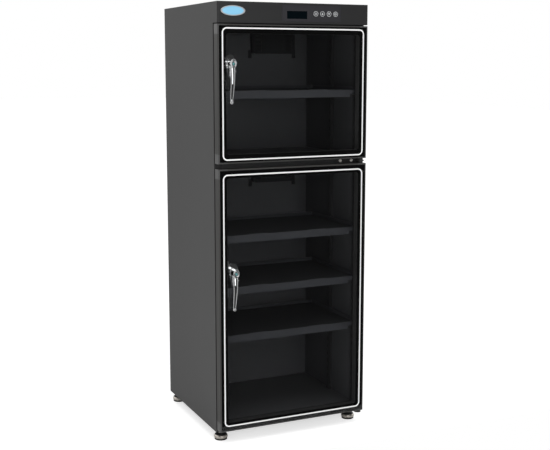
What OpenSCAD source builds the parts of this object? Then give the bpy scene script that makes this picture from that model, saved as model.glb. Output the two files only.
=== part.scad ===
// Two-door camera dry cabinet. Millimetres, +Z up, door side towards -Y.
// The origin is on the floor, under the centre of the whole object.

/* [Cabinet] */
// Outer width
body_w = 480; // [460:1:560]
// Depth from the door fronts to the rear cover
body_d = 460; // [440:1:560]
// Height above the floor
body_h = 1290; // [1270:1:1400]
// Height of the case's lower edge above the floor
foot_h = 30; // [26:1:34]
// Thickness of the folded steel sheet
sheet_t = 1.2; // [1.0:0.1:1.6]
// Height of the control header above the doors
header_h = 59; // [54:1:70]
// Clear depth of the service space behind the inner back
duct_d = 51; // [46:1:70]
// How far the levers stand in front of the doors
front_proud = 32; // [32:1:40]
// How far the vent hoods stand out of the rear cover
rear_proud = 3; // [3:0.5:5]

/* [Doors] */
// Depth of the door frame
door_t = 28; // [26:1:32]
// Width of the aluminium frame profile
frame_w = 26; // [25:1:30]
// Leg length of the moulded frame corners
corner_w = 28; // [28:1:34]
// Gap between the door frames and the case, filled by the seal
seal_gap = 8; // [7:0.5:10]
// Height of the lower door's bottom edge above the case's lower edge
sill_h = 10; // [9:1:18]
// Height of the lower door
lower_door_h = 780; // [760:1:800]
// Gap between the two doors
door_gap = 15; // [14:1:18]
// Gap under the header
top_gap = 3; // [2.5:0.5:5]
// Glass thickness
glass_t = 4; // [3:0.5:5]
// Width of the metal lip round the glass
lip_w = 4; // [3:0.5:6]
// Width of the printed line on the glass
line_w = 4; // [3:0.5:8]
// Distance of the printed line from the doors' sides
line_side = 13; // [9:1:16]
// Distance of the printed line from the upper door's top and bottom edges
upper_line_in = 9.5; // [8:0.5:20]
// Distance of the printed line from the lower door's top and bottom edges
lower_line_in = 15; // [8:0.5:20]
// Outer corner radius of the printed line
line_r = 15; // [8:1:24]

/* [Hinges] */
// Distance of the hinge pins from the case's right side
pivot_in = 12; // [11:0.5:13]
// Radius of the hinge pins
pin_r = 4; // [3:0.5:5]
// Radial clearance of each turning fit
fit_gap = 0.06; // [0.03:0.01:0.1]
// How far a pin reaches into a door
pin_reach = 13; // [10:1:20]
// Thickness of the hinge plates
hinge_t = 3; // [2:0.5:4]

/* [Levers] */
// Distance of the upper lever's spindle from the case's left side
upper_spindle_in = 36; // [34:0.5:38]
// Distance of the lower lever's spindle from the case's left side
lower_spindle_in = 41; // [34:0.5:42]
// Height of the upper spindle above the floor
upper_spindle_z = 1117; // [1090:1:1130]
// Height of the lower spindle above the floor
lower_spindle_z = 520; // [505:1:540]
// Radius of the spindles
spindle_r = 5; // [4:0.5:5]
// Distance from the spindle to the end of the lever
lever_l = 113; // [100:1:125]
// Reach of the latch cam from the spindle
cam_l = 26; // [24:1:27]

/* [Shelves] */
// Heights of the four shelf edges above the floor, from the top
shelf_z = [1040, 619, 464, 318];
// Shelf depth
shelf_d = 290; // [240:1:330]
// Height of a shelf's front edge
shelf_edge = 22; // [18:1:28]
// Height of the upstands round a shelf, above its edge
upstand_h = 9; // [4:1:16]
// Thickness of the shelf mats
mat_t = 3; // [2:0.5:5]
// Spacing of the slots in the shelf uprights
slot_pitch = 25; // [20:1:32]

/* [Control panel] */
// Width of the control overlay
overlay_w = 190; // [186:1:200]
// Height of the control overlay
overlay_h = 47; // [42:1:50]
// Diameter of the buttons
button_d = 15; // [12:0.5:16]
// Spacing of the buttons
button_pitch = 21.4; // [19:0.2:23]
// Button travel
button_travel = 1; // [0.6:0.1:1.5]

/* [Drying units] */
// Width of the louvred cover
unit_w = 152; // [140:1:170]
// Height of the louvred cover
unit_h = 78; // [70:1:86]
// Distance of the units from the cabinet's middle plane
unit_x = 110; // [60:1:120]
// Number of louvres in each column
louvre_count = 5; // [3:1:6]

/* [Hidden] */
$fn = 48;

// Finishes
case_paint = [0.30, 0.30, 0.30];
front_paint = [0.19, 0.19, 0.195];
inner_paint = [0.10, 0.10, 0.105];
shelf_paint = [0.17, 0.17, 0.18];
frame_metal = [0.25, 0.25, 0.26];
bright_metal = [0.80, 0.81, 0.82];
zinc_metal = [0.62, 0.61, 0.58];
black_rubber = [0.05, 0.05, 0.05];
tinted_glass = [0.06, 0.07, 0.08, 0.45];

// Main planes. Front and rear are placed so that the whole object is centred on the origin.
hw = body_w / 2;
y_front = front_proud - (body_d + front_proud + rear_proud) / 2;
y_back = y_front + body_d;
y_case = y_front + door_t + seal_gap;
y_inner = y_back - sheet_t - duct_d;
z_base = foot_h;
z_head = body_h - header_h;
door_w = body_w;
lower_z = z_base + sill_h;
upper_z = lower_z + lower_door_h + door_gap;
upper_door_h = z_head - top_gap - upper_z;
pivot_x = hw - pivot_in;
pivot_y = y_front + door_t / 2;
wall_x = hw - sheet_t;

// Case details
stile_w = 24;
fold = 12;
joint_gap = 0.05;
floor_z = z_base + 16;
part_z = lower_z + lower_door_h - 6;
part_h = door_gap + 11;
rail_margin = 18;
hem_r = 2;

// Doors
glass_in = 0.4;
seat_v = glass_in + glass_t;
edge_r = 3.5;
seal_in = 12.5;
seal_foot = 2.4;
seal_w = 9.5;
groove_u = seal_in + 2.5;
groove_w = 4.5;
groove_d = seal_foot + 0.2;
seal_play = 0.4;
line_t = 0.2;
head_r = 4;
chamber_wall = 2;

// Hinges and levers
hinge_foot_l = 86;
upper_axis = [upper_spindle_in - hw, upper_spindle_z];
lower_axis = [lower_spindle_in - hw, lower_spindle_z];

// Uprights
upright_w = 18;
upright_d = 10;
upright_t = 1.5;
front_upright_y = y_case + 16;
rear_upright_y = front_upright_y + 160;

// Shelves
shelf_y = y_case + 10;
tray_w = 2 * (wall_x - upright_d - 2);
edge_w = 2 * (wall_x - 2);
tray_drop = 4;
edge_cut_w = 30;
edge_cut_h = 9;

// Header
overlay_x = 53;
overlay_z = z_head + header_h / 2;
overlay_t = 0.5;
face_y = y_front + overlay_t;
window_w = 64;
window_h = 22;
window_x = -26;
window_z = overlay_z - 15.5;
button_x0 = 66;
button_z = z_head + header_h / 2;
board_y = y_front + 14;

// Drying units
upper_unit_z = z_head - 3 - unit_h;
lower_unit_z = part_z - 8 - unit_h;
cover_d = 18;
louvre_w = 24;
louvre_pitch = 12.5;
hood_rows = 6;

// Feet
foot_in = 23;
foot_back = 22;
stud_r = 5;

// A plate lying in a plane of constant x, from an outline of [y, z] points
module yz_plate(x, t) {
    translate([x, 0, 0]) rotate([90, 0, 90]) linear_extrude(t) children();
}

// A plate lying in a plane of constant y, from an outline of [x, z] points
module xz_plate(y, t) {
    translate([0, y + t, 0]) rotate([90, 0, 0]) linear_extrude(t) children();
}

// A block between two corners
module block(lo, hi) {
    translate(lo) cube(hi - lo);
}

// A rectangle with rounded corners, from its lower left corner
module round_rect(w, h, r) {
    centres = [[r, r], [w - r, r], [w - r, h - r], [r, h - r]];
    union() {
        translate([r, 0]) square([w - 2 * r, h]);
        translate([0, r]) square([w, h - 2 * r]);
        for (c = centres) translate(c) circle(r);
    }
}

// A quarter of a round bend in the sheet, seen from above, at the left front corner
module bend(r) {
    intersection() {
        difference() {
            circle(r);
            circle(r - sheet_t);
        }
        translate([-r, -r]) square(r);
    }
}

// Places a child at a lever spindle [x, z], its +Z pointing out of the door and its +Y up
module at_spindle(s) {
    translate([s[0], y_front, s[1]]) rotate([90, 0, 0]) children();
}

// Side of the case, with the cheek that closes the header
module left_side_panel() {
    color(case_paint) {
        block([-hw, y_case, z_base], [-wall_x, y_back, body_h]);
        block([-hw, face_y + head_r + joint_gap, z_head],
            [-wall_x, y_case - joint_gap, body_h]);
        // Hem folded inwards along the rear edge
        block([-wall_x, y_back - 2 * sheet_t - fold, z_base + 20],
            [-wall_x + sheet_t, y_back - 2 * sheet_t, body_h - 20]);
    }
}

module right_side_panel() {
    mirror([1, 0, 0]) left_side_panel();
}

// Outline of the top sheet, rounded at the front like the fascia
module top_outline() {
    corner_x = hw - head_r;
    corner_y = face_y + head_r;
    translate([-wall_x, corner_y]) square([2 * wall_x, y_back - corner_y]);
    translate([-corner_x, face_y]) square([2 * corner_x, head_r]);
    for (s = [-1, 1]) translate([s * corner_x, corner_y]) intersection() {
        circle(head_r);
        translate([s > 0 ? 0 : -head_r, -head_r]) square(head_r);
    }
}

// Top sheet with its down-turned edges, which lie inside the side panels
module top_panel() {
    lip = wall_x - 0.3;
    color(case_paint) {
        translate([0, 0, body_h - sheet_t]) linear_extrude(sheet_t) top_outline();
        block([-lip + fold, y_back - 2 * sheet_t - 0.2, body_h - fold],
            [lip - fold, y_back - sheet_t - 0.2, body_h]);
        for (s = [-1, 1])
            block([s * lip - (s > 0 ? sheet_t : 0), y_case, body_h - fold],
                [s * lip + (s > 0 ? 0 : sheet_t), y_back - 30, body_h]);
    }
}

// One hooded vent slot pressed out of the rear cover
module vent_hood(w, h) {
    difference() {
        rotate([0, 90, 0]) translate([0, 0, -w / 2]) intersection() {
            cylinder(r = rear_proud, h = w);
            translate([-rear_proud, 0, 0]) cube([2 * rear_proud, rear_proud, w]);
        }
        translate([-w / 2 + 1, -0.1, -h]) cube([w - 2, rear_proud - 0.9, h]);
    }
}

// Removable rear cover with two vent fields, an inlet cut-out and stiffening swages
module rear_cover() {
    m = 0.4;
    inlet_cut = [29, 22];
    color(case_paint) {
        difference() {
            xz_plate(y_back - sheet_t, sheet_t) difference() {
                translate([-wall_x + m, z_base + 1])
                    round_rect(2 * (wall_x - m), body_h - sheet_t - z_base - 2, 3);
                translate([inlet_x - inlet_cut[0] / 2, inlet_z - inlet_cut[1] / 2])
                    square(inlet_cut);
                for (uz = [upper_unit_z, lower_unit_z], i = [0 : hood_rows - 1])
                    translate([unit_x - 50, uz + 10 + i * 11 - 2.4]) square([100, 2.4]);
            }
        }
        for (uz = [upper_unit_z, lower_unit_z], i = [0 : hood_rows - 1])
            translate([unit_x, y_back, uz + 10 + i * 11]) vent_hood(104, 2.9);
        // Long swages that stiffen the flat sheet
        for (x = [-150, 0, 150], z = [140, 400])
            xz_plate(y_back, 1) translate([x - 4, z]) round_rect(8, 200, 3.5);
    }
}

inlet_x = -150;
inlet_z = z_head + 30;

// Floor pan: a shallow tray, open below, with welded nuts for the feet
module base_panel() {
    w = wall_x - 0.05;
    color(inner_paint) {
        difference() {
            union() {
                difference() {
                    block([-w, y_case + sheet_t, z_base + 0.5], [w, y_inner, floor_z]);
                    block([-w + sheet_t, y_case + 2 * sheet_t, z_base - 1],
                        [w - sheet_t, y_inner - sheet_t, floor_z - sheet_t]);
                }
                // Rear apron under the service space
                block([-w, y_inner, z_base + 0.5], [w, y_back - sheet_t, z_base + 0.5 + sheet_t]);
                for (p = foot_places) translate([p[0], p[1], z_base + 0.5]) {
                    cylinder(r = 11, h = 15);
                    translate([-20, -20, 0]) cube([40, 40, 2]);
                }
            }
            for (p = foot_places) translate([p[0], p[1], z_base - 1])
                cylinder(r = stud_r + fit_gap, h = floor_z - sheet_t - z_base + 1);
        }
    }
}

foot_places = [for (sx = [-1, 1], y = [y_case + foot_back, y_back - foot_back])
    [sx * (hw - foot_in), y]];

// Inner back of both compartments, cut out where the drying units breathe
module inner_back_panel() {
    color(inner_paint) xz_plate(y_inner, sheet_t) difference() {
        translate([-wall_x + 0.05, z_base + 2 * sheet_t])
            square([2 * wall_x - 0.1, z_head - z_base - 3 * sheet_t]);
        for (uz = [upper_unit_z, lower_unit_z])
            translate([unit_x - 62, uz + 8]) round_rect(124, unit_h - 16, 4);
    }
}

// Double-skinned shelf between the compartments
module partition_panel() {
    y0 = y_case + sheet_t;
    color(inner_paint) yz_plate(-wall_x + 0.05, 2 * wall_x - 0.1) difference() {
        translate([y0, part_z]) square([y_inner - y0, part_h]);
        translate([y0 + sheet_t, part_z + sheet_t])
            square([y_inner - y0 - 2 * sheet_t, part_h - 2 * sheet_t]);
    }
}

// Ceiling of the upper compartment, with its front and rear folds turned up
module ceiling_panel() {
    y0 = y_case + sheet_t;
    color(inner_paint) yz_plate(-wall_x + 0.05, 2 * wall_x - 0.1) {
        translate([y0, z_head - sheet_t]) square([y_inner + sheet_t - y0, sheet_t]);
        translate([y0, z_head - sheet_t]) square([sheet_t, fold]);
        translate([y_inner, z_head - sheet_t]) square([sheet_t, fold]);
    }
}

// Front face of the case: two stiles, the sill and the head rail, on which the seals close
module front_frame() {
    sill_top = lower_z + seal_in + seal_w + 2;
    head_low = z_head - top_gap - seal_in - seal_w - 2;
    rail_x = hw - stile_w - joint_gap;
    color(front_paint) {
        for (s = [-1, 1])
            block([s > 0 ? hw - stile_w : -wall_x, y_case, z_base + 0.5],
                [s > 0 ? wall_x : -hw + stile_w, y_case + sheet_t, z_head]);
        yz_plate(-rail_x, 2 * rail_x) {
            translate([y_case, z_base + 0.5]) square([sheet_t, sill_top - z_base - 0.5]);
            translate([y_case, head_low]) square([sheet_t, z_head - head_low]);
        }
    }
}

// Rail between the doors, with the ribbed face that shows in the gap
module mid_rail() {
    z0 = lower_z + lower_door_h - seal_in - seal_w - 2;
    z1 = upper_z + seal_in + seal_w + 2;
    rib_z = lower_z + lower_door_h;
    rib_n = 4;
    rail_x = hw - stile_w - joint_gap;
    color(front_paint) {
        yz_plate(-rail_x, 2 * rail_x)
            translate([y_case, z0]) square([sheet_t, z1 - z0]);
        // Ribs, ending at the hinge plate
        yz_plate(-rail_x, rail_x + pivot_x + pivot_in - 2 - hinge_foot_l) {
            for (i = [0 : rib_n - 1])
                translate([y_case, rib_z + 2.6 + i * 3.3]) circle(1, $fn = 24);
        }
    }
}

// Header fascia: bent at both ends, with cut-outs for the window and the buttons
module header_panel() {
    w = wall_x - 0.1;
    front_w = hw - head_r;
    y1 = face_y + head_r;
    color(front_paint) difference() {
        union() {
            xz_plate(face_y, sheet_t) translate([-front_w, z_head])
                square([2 * front_w, header_h - sheet_t]);
            for (s = [0, 1]) mirror([s, 0, 0]) translate([-front_w, y1, z_head])
                linear_extrude(header_h - sheet_t) bend(head_r);
            block([-w, y1, z_head], [w, y_case, z_head + sheet_t]);
            block([-front_w, face_y, z_head], [front_w, y1, z_head + sheet_t]);
            block([-front_w, face_y, body_h - 2 * sheet_t],
                [front_w, face_y + 16, body_h - sheet_t]);
        }
        translate([window_x, face_y - 1, window_z]) cube([window_w, 4, window_h]);
        for (i = [0 : 3]) translate([button_x0 + i * button_pitch, face_y - 1, button_z])
            rotate([-90, 0, 0]) cylinder(r = button_d / 2 + 0.3, h = 4);
        translate([pivot_x, pivot_y, z_head - 1]) cylinder(r = pin_r + 0.8, h = 4);
    }
}

// Thin printed film over the controls
module control_overlay() {
    color([0.22, 0.21, 0.235]) xz_plate(y_front, overlay_t) difference() {
        translate([overlay_x - overlay_w / 2, overlay_z - overlay_h / 2])
            round_rect(overlay_w, overlay_h, 2);
        translate([window_x, window_z]) square([window_w, window_h]);
        for (i = [0 : 3]) translate([button_x0 + i * button_pitch, button_z])
            circle(button_d / 2 + 0.3);
    }
}

// Smoked lens of the humidity display, with a flange behind the fascia
module display_window() {
    color([0.02, 0.04, 0.06]) {
        block([window_x + 0.1, y_front + 0.2, window_z + 0.1],
            [window_x + window_w - 0.1, face_y + sheet_t, window_z + window_h - 0.1]);
        block([window_x - 2, face_y + sheet_t, window_z - 2],
            [window_x + window_w + 2, face_y + sheet_t + 1.6, window_z + window_h + 2]);
    }
}

// Bare oval badge: a raised field inside a rim
module badge() {
    badge_x = 47 - hw;
    badge_z = z_head + 33.5;
    translate([badge_x, face_y, badge_z]) rotate([90, 0, 0]) color([0.49, 0.71, 0.85])
        difference() {
            scale([1, 14.3 / 37, 1]) cylinder(r = 37, h = 1.4, $fn = 96);
            translate([0, 0, 0.9]) scale([1, 12.4 / 35.1, 1]) cylinder(r = 35.1, h = 1, $fn = 96);
        }
}

// Control circuit board on four posts, with the display and the button switches
module control_board() {
    posts = [for (x = [overlay_x - 84, overlay_x + 84], z = [overlay_z - 18, overlay_z + 18])
        [x, z]];
    color([0.05, 0.25, 0.12]) {
        block([overlay_x - 90, board_y, overlay_z - 23], [overlay_x + 90, board_y + 1.6,
            overlay_z + 23]);
        for (p = posts) translate([p[0], face_y + sheet_t, p[1]]) rotate([-90, 0, 0])
            cylinder(r = 3, h = board_y - face_y - sheet_t);
        block([window_x + 2, face_y + sheet_t + 2.2, window_z + 1],
            [window_x + window_w - 2, board_y, window_z + window_h - 1]);
        for (i = [0 : 3]) translate([button_x0 + i * button_pitch, board_y, button_z]) {
            translate([-3, -3.5, -3]) cube([6, 3.5, 6]);
            rotate([90, 0, 0]) cylinder(r = 1.7, h = board_y - y_front - 6.4);
        }
        for (x = [-70, -30, 30]) translate([overlay_x + x, board_y + 1.6, overlay_z - 18])
            cube([16, 5, 12]);
        translate([overlay_x + 70, board_y + 1.6, overlay_z]) rotate([-90, 0, 0])
            cylinder(r = 5, h = 9);
    }
}

// Round cap of a panel button, with the flange that keeps it in the fascia
module button_cap(i) {
    translate([button_x0 + i * button_pitch, face_y + sheet_t, button_z]) rotate([90, 0, 0])
        color([0.55, 0.55, 0.57]) {
            difference() {
                translate([0, 0, -2]) cylinder(r = button_d / 2, h = sheet_t + overlay_t + 2.9);
                translate([0, 0, sheet_t + overlay_t + 0.4]) cylinder(r = button_d / 2 - 1.4, h = 1);
            }
            translate([0, 0, -2]) cylinder(r = button_d / 2 + 1.5, h = 1.7);
            translate([0, 0, -3.4]) cylinder(r = 2.4, h = 1.6);
        }
}

module button_power() {
    button_cap(0);
}

module button_up() {
    button_cap(1);
}

module button_down() {
    button_cap(2);
}

module button_lamp() {
    button_cap(3);
}

supply_x = -150;
supply_y = y_back - 170;

// Power supply case with its mounting ears, on the ceiling panel
module power_supply() {
    w = 99;
    d = 82;
    h = 36;
    color([0.72, 0.72, 0.70]) translate([supply_x - w / 2, supply_y, z_head]) {
        difference() {
            cube([w, d, h]);
            for (i = [0 : 6]) translate([14 + i * 11, 12, h - 1.5]) cube([5, d - 24, 2]);
        }
        for (x = [-12, w]) translate([x, d / 2 - 10, 0]) cube([12, 20, 2]);
        translate([20, -9, 5]) cube([w - 40, 9, 15]);
    }
}

// Appliance inlet: flanged socket with three blades in a six-sided recess
module power_inlet() {
    recess = [24.4, 16.6];
    shell = [28.4, 21];
    depth = 22;
    translate([inlet_x, y_back, inlet_z]) rotate([90, 0, 0]) color([0.04, 0.04, 0.04]) {
        difference() {
            union() {
                translate([-shell[0] / 2, -shell[1] / 2, 0]) cube([shell[0], shell[1], depth]);
                translate([-24, -13, -2.2]) linear_extrude(2.2) round_rect(48, 26, 3);
            }
            translate([0, 0, -3]) linear_extrude(depth - 1) polygon([
                [-recess[0] / 2, -recess[1] / 2], [recess[0] / 2, -recess[1] / 2],
                [recess[0] / 2, recess[1] / 2 - 5], [recess[0] / 2 - 5, recess[1] / 2],
                [5 - recess[0] / 2, recess[1] / 2], [-recess[0] / 2, recess[1] / 2 - 5]]);
            for (x = [-20, 20]) translate([x, 0, -3]) cylinder(r = 1.7, h = 4);
        }
        for (x = [-7, 0, 7]) translate([x - 1, x == 0 ? 0 : -4, 3]) cube([2, 4, depth - 3]);
    }
}

wire_r = 2.6;
wire_y = y_inner + sheet_t + 4;

// Cable from the power supply down the service space to both drying units
module wiring() {
    bend = 14;
    wire_x = unit_x - 88;
    start_x = supply_x + 49.5;
    wire_z = z_head + 20;
    low_z = lower_unit_z + unit_h / 2;
    lead_y = board_y + 60;
    lead_x = overlay_x - 22;
    lead_z = z_head + 16;
    color([0.12, 0.12, 0.12]) {
        // Mains lead from the inlet to the supply
        translate([supply_x, supply_y + 82, inlet_z - 4]) rotate([-90, 0, 0])
            cylinder(r = 3, h = y_back - 22 - supply_y - 82);
        // Lead from the supply to the control board
        translate([supply_x, lead_y + bend, lead_z]) rotate([-90, 0, 0])
            cylinder(r = wire_r - 0.6, h = supply_y - 9 - lead_y - bend);
        translate([supply_x + bend, lead_y + bend, lead_z]) rotate([0, 0, 180])
            rotate_extrude(angle = 90) translate([bend, 0]) circle(wire_r - 0.6, $fn = 24);
        translate([supply_x + bend, lead_y, lead_z]) rotate([0, 90, 0])
            cylinder(r = wire_r - 0.6, h = lead_x - supply_x - 2 * bend);
        translate([lead_x - bend, lead_y - bend, lead_z])
            rotate_extrude(angle = 90) translate([bend, 0]) circle(wire_r - 0.6, $fn = 24);
        translate([lead_x, board_y + 6.6, lead_z]) rotate([-90, 0, 0])
            cylinder(r = wire_r - 0.6, h = lead_y - bend - board_y - 6.6);
        // Along the ceiling, clear of the supply
        translate([start_x, supply_y + 41, wire_z]) rotate([0, 90, 0])
            cylinder(r = wire_r, h = wire_x - bend - start_x);
        translate([wire_x - bend, supply_y + 41 + bend, wire_z]) rotate([0, 0, -90])
            rotate_extrude(angle = 90) translate([bend, 0]) circle(wire_r, $fn = 24);
        translate([wire_x, supply_y + 41 + bend, wire_z]) rotate([-90, 0, 0])
            cylinder(r = wire_r, h = wire_y - supply_y - 41 - 2 * bend);
        // Over the edge of the ceiling and down
        translate([wire_x, wire_y - bend, wire_z - bend]) rotate([0, -90, 0])
            rotate_extrude(angle = 90) translate([bend, 0]) circle(wire_r, $fn = 24);
        translate([wire_x, wire_y, low_z + bend])
            cylinder(r = wire_r, h = wire_z - low_z - 2 * bend);
        // Into the side of the lower unit
        translate([wire_x + bend, wire_y, low_z + bend]) rotate([-90, 0, 0]) rotate([0, 0, 90])
            rotate_extrude(angle = 90) translate([bend, 0]) circle(wire_r, $fn = 24);
        translate([wire_x + bend, wire_y, low_z]) rotate([0, 90, 0])
            cylinder(r = wire_r, h = unit_x - 68 - wire_x - bend);
        // Branch to the upper unit
        translate([wire_x, wire_y, upper_unit_z + unit_h / 2]) rotate([0, 90, 0])
            cylinder(r = wire_r, h = unit_x - 68 - wire_x);
    }
}

// Drying cartridges in the service space, behind the inner back
module drying_units() {
    color([0.80, 0.79, 0.75]) for (uz = [upper_unit_z, lower_unit_z])
        translate([unit_x, y_inner + sheet_t, uz + 4]) difference() {
            union() {
                translate([-68, 0, 0]) cube([136, 38, unit_h - 8]);
                translate([-60, -sheet_t, 5]) cube([120, sheet_t + 1, unit_h - 18]);
            }
            for (i = [0 : 5]) translate([-54, 34, 8 + i * 10]) cube([108, 5, 4]);
        }
}

// Louvred cover of a drying unit: hollow behind, rounded below, with raked blades at each side
module unit_cover(uz) {
    r = 12;
    wall = 2;
    translate([unit_x - unit_w / 2, y_inner - cover_d, uz]) color([0.13, 0.13, 0.14]) {
        difference() {
            translate([0, cover_d, 0]) rotate([90, 0, 0]) linear_extrude(cover_d) union() {
                round_rect(unit_w, unit_h, r);
                translate([0, unit_h / 2]) square([unit_w, unit_h / 2]);
            }
            translate([wall, cover_d + 0.1, wall]) rotate([90, 0, 0])
                linear_extrude(cover_d - wall + 0.1)
                round_rect(unit_w - 2 * wall, unit_h - 2 * wall, r - wall);
            for (x = [9, unit_w - 9 - louvre_w], i = [0 : louvre_count - 1])
                translate([x, wall + 0.1, 10 + i * louvre_pitch]) rotate([90, 0, 0])
                    linear_extrude(wall + 0.2) round_rect(louvre_w, 7, 3);
            translate([louvre_w + 16, wall / 2, 14]) rotate([90, 0, 0]) linear_extrude(wall)
                round_rect(unit_w - 2 * louvre_w - 32, unit_h - 28, 6);
        }
        for (x = [9, unit_w - 9 - louvre_w], i = [0 : louvre_count - 1])
            translate([x - 1, wall - 0.2, 9 + i * louvre_pitch]) rotate([90, 0, 90])
                linear_extrude(louvre_w + 2)
                polygon([[0, 8.6], [1.2, 8.6], [6.2, 1.6], [6.2, 0.2], [5, 0.2]]);
        // Ears that the cover screws go through
        for (x = [-9, unit_w - 3]) difference() {
            translate([x, cover_d - 2, -14]) cube([12, 2, 26]);
            translate([x == -9 ? -6 : unit_w + 6, cover_d + 1, -9]) rotate([90, 0, 0])
                cylinder(r = 2.2, h = 4);
        }
    }
}

module upper_unit_cover() {
    unit_cover(upper_unit_z);
}

module lower_unit_cover() {
    unit_cover(lower_unit_z);
}

// One slotted channel, from z0 to z1, on the left wall
module upright(y, z0, z1) {
    slots = floor((z1 - z0 - 30) / slot_pitch);
    translate([-wall_x, y, z0]) difference() {
        cube([upright_d, upright_w, z1 - z0]);
        translate([-1, upright_t, -1])
            cube([upright_d - upright_t + 1, upright_w - 2 * upright_t, z1 - z0 + 2]);
        for (i = [0 : slots]) translate([0, upright_w / 2 - 2, 15 + i * slot_pitch])
            cube([upright_d + 1, 4, 12]);
    }
}

module left_uprights() {
    color(inner_paint) for (y = [front_upright_y, rear_upright_y]) {
        upright(y, floor_z, part_z);
        upright(y, part_z + part_h, z_head - sheet_t);
    }
}

module right_uprights() {
    mirror([1, 0, 0]) left_uprights();
}

// Spring-steel clips hooked into the uprights under each shelf
module shelf_clips() {
    color(zinc_metal) for (z = shelf_z, s = [0, 1], y = [front_upright_y, rear_upright_y])
        mirror([s, 0, 0]) translate([-wall_x + upright_d, y + upright_w / 2 - 1.8,
            z - tray_drop - sheet_t]) {
            translate([0, 0, -2]) cube([13, 3.6, 2]);
            translate([0, 0, -11]) cube([2, 3.6, 10]);
            translate([0, 0, -11]) rotate([90, 0, 0]) mirror([0, 0, 1]) linear_extrude(3.6)
                polygon([[1, 0.5], [3.4, 0.5], [13, 8], [13, 10], [10, 10]]);
        }
}

// Pressed shelf: floor, three upstands and a deep front edge with cut-back ends and two grips
module shelf(z) {
    t = sheet_t;
    y1 = shelf_y + shelf_d;
    grip_w = 62;
    grip_x = 98;
    floor_top = z - tray_drop;
    side_x = tray_w / 2 - t;
    color(shelf_paint) {
        // Floor
        block([-side_x + joint_gap, shelf_y + t + joint_gap, floor_top - t],
            [side_x - joint_gap, y1 - t - joint_gap, floor_top]);
        // Rear upstand with its hem
        yz_plate(-side_x + joint_gap, 2 * side_x - 2 * joint_gap) {
            translate([y1 - t, floor_top - t]) square([t, tray_drop + upstand_h + t]);
            translate([y1 - 4, z + upstand_h - t]) square([4, t]);
        }
        // Side upstands, rising behind the front edge
        for (s = [-1, 1]) yz_plate(s > 0 ? side_x : -tray_w / 2, t)
            polygon([[shelf_y + 6, floor_top - t], [y1, floor_top - t], [y1, z + upstand_h],
                [shelf_y + 26, z + upstand_h], [shelf_y + 6, z - 1]]);
        // Front edge with its ends cut back
        xz_plate(shelf_y, t) difference() {
            translate([-edge_w / 2, z - shelf_edge]) square([edge_w, shelf_edge]);
            for (s = [-1, 1]) translate([s * edge_w / 2, z - shelf_edge])
                translate([-edge_cut_w, -1]) square([2 * edge_cut_w, edge_cut_h + 1]);
        }
        // Rolled bead along the top and the hem along the bottom of the edge
        yz_plate(-edge_w / 2, edge_w) translate([shelf_y + 1.5, z - 1.5]) circle(1.5, $fn = 24);
        yz_plate(-edge_w / 2 + edge_cut_w, edge_w - 2 * edge_cut_w)
            translate([shelf_y, z - shelf_edge]) square([9, t]);
        // Raised grips on the bead
        for (s = [-1, 1]) xz_plate(shelf_y - 1, 4)
            translate([s * grip_x - grip_w / 2, z - 6.5]) round_rect(grip_w, 8, 2);
    }
}

module shelf_1() {
    shelf(shelf_z[0]);
}

module shelf_2() {
    shelf(shelf_z[1]);
}

module shelf_3() {
    shelf(shelf_z[2]);
}

module shelf_4() {
    shelf(shelf_z[3]);
}

// Ribbed mats lying in the shelves
module shelf_mats() {
    rib_pitch = 12;
    mat_y0 = shelf_y + 4;
    mat_d = shelf_d - 7;
    ribs = floor(mat_d / rib_pitch);
    color([0.11, 0.11, 0.115]) for (z = shelf_z) translate([0, 0, z - tray_drop])
        yz_plate(2.5 - tray_w / 2, tray_w - 5) {
            translate([mat_y0, 0]) square([mat_d, mat_t - 1]);
            for (i = [0 : ribs - 1]) translate([mat_y0 + 3 + i * rib_pitch, 0])
                square([rib_pitch / 2, mat_t]);
        }
}

// Pin with a collar that keeps a door clear of the hinge plate
module hinge_plate(z, foot_z0, foot_z1) {
    arm_w = 21;
    edge_x = hw - 1.5;
    block([pivot_x - arm_w / 2, pivot_y, z], [edge_x, y_case, z + hinge_t]);
    translate([pivot_x, pivot_y, z]) cylinder(r = arm_w / 2, h = hinge_t);
    block([edge_x - hinge_foot_l, y_case - hinge_t, foot_z0], [edge_x, y_case, foot_z1]);
}

module hinge_pin(z0, z1) {
    translate([pivot_x, pivot_y, z0]) cylinder(r = pin_r, h = z1 - z0);
}

module collar(z0, z1) {
    translate([pivot_x, pivot_y, z0]) cylinder(r = 7, h = z1 - z0);
}

collar_gap = 0.3;

module middle_hinge() {
    z = lower_z + lower_door_h + door_gap / 2 - hinge_t / 2;
    z_low = lower_z + lower_door_h;
    color(zinc_metal) {
        hinge_plate(z, z_low + 1, upper_z - 1);
        hinge_pin(z_low - pin_reach, upper_z + pin_reach);
        collar(z_low + collar_gap, upper_z - collar_gap);
    }
}

module bottom_hinge() {
    z = lower_z - 4 - hinge_t;
    color(zinc_metal) {
        hinge_plate(z, z_base + 1, lower_z - 1);
        hinge_pin(z, lower_z + pin_reach);
        collar(z, lower_z - collar_gap);
    }
}

module top_hinge() {
    z = z_head + sheet_t;
    door_top = z_head - top_gap;
    color(zinc_metal) {
        hinge_plate(z, z, z + 18);
        hinge_pin(door_top - pin_reach, z + hinge_t);
        translate([pivot_x, pivot_y, door_top + collar_gap])
            cylinder(r = pin_r + 0.5, h = z - door_top);
    }
}

// Pan-head screw whose head stands on a face, pointing out along its own +Z
module pan_screw(r, head_h, shank) {
    difference() {
        union() {
            cylinder(r = r, h = head_h * 0.6);
            translate([0, 0, head_h * 0.6]) cylinder(r1 = r, r2 = r * 0.72, h = head_h * 0.4);
        }
        for (a = [0, 90]) rotate([0, 0, a]) translate([-r * 0.55, -0.5, head_h * 0.45])
            cube([r * 1.1, 1, head_h]);
    }
    if (shank > 0) translate([0, 0, -shank]) cylinder(r = r * 0.5, h = shank);
}

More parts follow.
